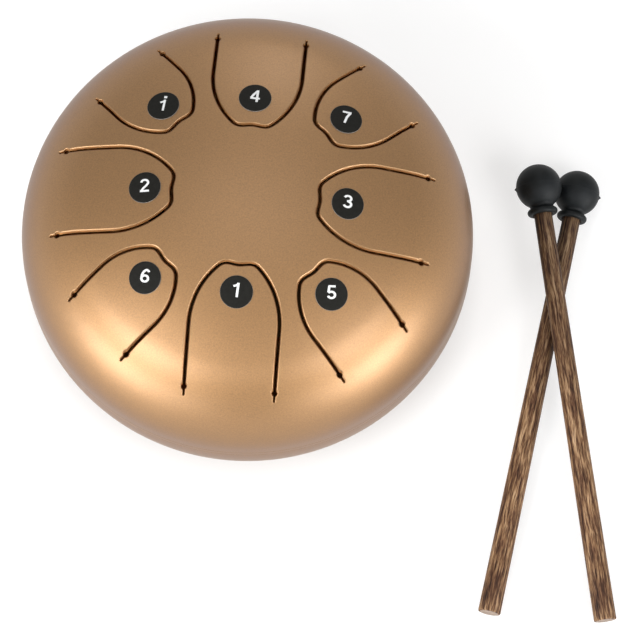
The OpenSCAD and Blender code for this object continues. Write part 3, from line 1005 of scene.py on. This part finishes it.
def stick_wood():
    """Dark stained open-grained wood: streaks along the stick, darker towards the head."""
    material, tree, shader = new_material("stick_wood")
    streaks = noise(tree, object_place(tree, (1, 1, 0.085)), 1500, 3, 0.65, 0.3)
    bands = noise(tree, object_place(tree, (1, 1, 0.11)), 420, 2, 0.5, 0.3)
    pores = noise(tree, object_place(tree, (1, 1, 0.10)), 2900, 2, 0.5)
    along = node(tree, "ShaderNodeSeparateXYZ", in0=object_place(tree)).outputs[2]
    # Darker towards the head: the wood's colour is scaled down near the head end of the stick
    toward_head = grey(tree, span(tree, along, *HEAD_END_BAND, HEAD_END_SHARE, 1.0))
    darker_to_head = mix(tree, 1.0, ramp(tree, streaks, WOOD_STREAKS), toward_head, "MULTIPLY")
    banded = mix(tree, 1.0, darker_to_head, ramp(tree, bands, WOOD_BANDS), "MULTIPLY")
    colour = mix(tree, 0.75, banded, ramp(tree, pores, WOOD_PORES), "MULTIPLY")
    wire(tree, shader, Base_Color=colour, Roughness=span(tree, streaks, 0.3, 0.7, 0.75, 0.55),
         Specular_IOR_Level=0.25, Normal=bump(tree, pores, 0.5, 0.00008))
    return material


def end_grain():
    """Pale sawn end of the stick, with the pores seen end on."""
    material, tree, shader = new_material("end_grain")
    pores = noise(tree, object_place(tree), 2600, 2, 0.6)
    rings = noise(tree, object_place(tree, (0.35, 1, 1)), 700, 2)
    body = mottle_ramp(tree, rings, SAWN, 0.35, 0.65)
    colour = mix(tree, 0.8, body, ramp(tree, pores, SAWN_PORES), "MULTIPLY")
    wire(tree, shader, Base_Color=colour, Roughness=0.75, Normal=bump(tree, pores, 0.4, 0.00006))
    return material


# Floor, light and camera

def make_floor():
    """Pale table that keeps the object's shadow, with a painted shadow in its colour under the drum, clear
    from below so that the underside shows.
    """
    data = bpy.data.meshes.new("floor")
    corners = [(x * FLOOR_HALF, y * FLOOR_HALF, 0) for x, y in ((-1, -1), (1, -1), (1, 1), (-1, 1))]
    data.from_pydata(corners, [], [(0, 1, 2, 3)])
    floor = bpy.data.objects.new("floor", data)
    bpy.context.collection.objects.link(floor)
    material, tree, shader = new_material("floor")
    place = node(tree, "ShaderNodeNewGeometry").outputs["Position"]
    away = node(tree, "ShaderNodeVectorMath", {"operation": "LENGTH"}, in0=place).outputs["Value"]
    near = span(tree, away, *NEAR_BAND, 0, FLOOR_NEAR)
    far = span(tree, away, *FAR_BAND, 0, FLOOR_FAR)
    glow = calculate(tree, "MULTIPLY", seen_directly(tree), calculate(tree, "ADD", near, far))
    # Painted shadow: under the drum the floor's colour turns dark brown
    colour = mix(tree, span(tree, away, *PAINTED_SHADOW_BAND, 0, 1), PAINTED_SHADOW_UNDER_DRUM, FLOOR_COLOUR)
    wire(tree, shader, Base_Color=colour, Roughness=0.9, Specular_IOR_Level=0.1,
         Emission_Color=(1, 1, 1, 1), Emission_Strength=glow)
    below = node(tree, "ShaderNodeNewGeometry").outputs["Backfacing"]
    clear_side = node(tree, "ShaderNodeBsdfTransparent").outputs[0]
    both = node(tree, "ShaderNodeMixShader", in0=below, in1=shader.outputs[0], in2=clear_side)
    tree.links.new(both.outputs[0], tree.get_output_node("ALL").inputs[0])
    data.materials.append(material)


def seen_directly(tree):
    """1 for rays from the camera, off a glossy surface or through a clear one."""
    path = node(tree, "ShaderNodeLightPath")
    either = calculate(tree, "MAXIMUM", path.outputs["Is Camera Ray"], path.outputs["Is Glossy Ray"])
    return calculate(tree, "MAXIMUM", either, path.outputs["Is Transmission Ray"])


def make_world():
    """White surroundings, softer as light than they look, and greyer overhead."""
    world = bpy.data.worlds.new("studio")
    bpy.context.scene.world = world
    world.use_nodes = True
    tree = world.node_tree
    tree.nodes.clear()
    place = node(tree, "ShaderNodeTexCoord").outputs["Generated"]
    rise = node(tree, "ShaderNodeSeparateXYZ", in0=place).outputs[2]
    seen = span(tree, rise, CEILING_FROM, CEILING_TO, WORLD_SEEN, CEILING_SEEN)
    strength = span(tree, seen_directly(tree), 0, 1, WORLD_LIGHT, seen)
    background = node(tree, "ShaderNodeBackground", Color=(1, 1, 1, 1), Strength=strength)
    output = tree.nodes.new("ShaderNodeOutputWorld")
    tree.links.new(background.outputs[0], output.inputs[0])


def direction(azimuth, elevation):
    """Unit vector towards an azimuth, counted from -Y towards +X, and an elevation, in degrees."""
    a, e = math.radians(azimuth), math.radians(elevation)
    return Vector((math.sin(a) * math.cos(e), -math.cos(a) * math.cos(e), math.sin(e)))


def make_softbox(name, azimuth, elevation, width, height, radiance):
    """Rectangular lamp that faces the drum."""
    data = bpy.data.lights.new(name, "AREA")
    data.shape = "RECTANGLE"
    data.size, data.size_y, data.energy = width, height, math.pi * width * height * radiance
    lamp = bpy.data.objects.new(name, data)
    bpy.context.collection.objects.link(lamp)
    lamp.location = direction(azimuth, elevation) * LAMP_DISTANCE + Vector((0, 0, LAMP_CENTRE_Z))
    lamp.rotation_mode = "QUATERNION"
    lamp.rotation_quaternion = direction(azimuth, elevation).to_track_quat("Z", "Y")


def make_camera():
    """Camera at the photograph's viewing angle."""
    data = bpy.data.cameras.new("camera")
    data.sensor_width, data.lens = CAMERA_SENSOR, CAMERA_LENS
    camera = bpy.data.objects.new("camera", data)
    bpy.context.collection.objects.link(camera)
    back = direction(*CAMERA_ANGLES)
    azimuth = math.radians(CAMERA_ANGLES[0])
    right = Vector((math.cos(azimuth), math.sin(azimuth), 0))
    up = back.cross(right)
    turn = Matrix.Rotation(math.radians(CAMERA_ROLL), 3, back)
    axes = Matrix((turn @ right, turn @ up, back)).transposed()
    place = Vector(CAMERA_TARGET) * MM + back * CAMERA_DISTANCE * MM
    camera.matrix_world = Matrix.Translation(place) @ axes.to_4x4()
    data.clip_start, data.clip_end = 0.05, 20
    bpy.context.scene.camera = camera


def dress_feet(material):
    """The feet keep the CAD's shape."""
    for k in (1, 2, 3):
        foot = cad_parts[f"rubber_foot_{k}"]
        foot.data.materials.clear()
        foot.data.materials.append(material)


def build_all():
    """Every visible piece with its material."""
    paint, lining = bronze_paint(), inner_paint()
    make_shell_top(paint, lining)
    make_base(paint, lining)
    make_weld(paint)
    film, cut_edge, ink = disc_film(), film_edge(), number_ink()
    for i in range(len(NOTES)):
        make_tongue(i, paint, lining)
        make_disc(i, film, cut_edge)
        make_number(i, ink)
    wood, sawn = stick_wood(), end_grain()
    black = rubber("head_rubber", HEAD_RUBBER, 0.46)
    lower = mallet_matrix(LOWER_BALL, LOWER_HEADING, LOWER_PITCH)
    upper = mallet_matrix(UPPER_BALL, UPPER_HEADING, UPPER_PITCH)
    make_stick("lower", lower, wood, sawn)
    make_stick("upper", upper, wood, sawn)
    make_head("lower", lower, black, 1)
    make_head("upper", upper, black, -1)
    dress_feet(rubber("foot_rubber", FOOT_RUBBER, 0.6))


build_all()
make_floor()
make_world()
for softbox in SOFTBOXES:
    make_softbox(*softbox)
make_camera()
bpy.context.scene.view_settings.view_transform = "Standard"
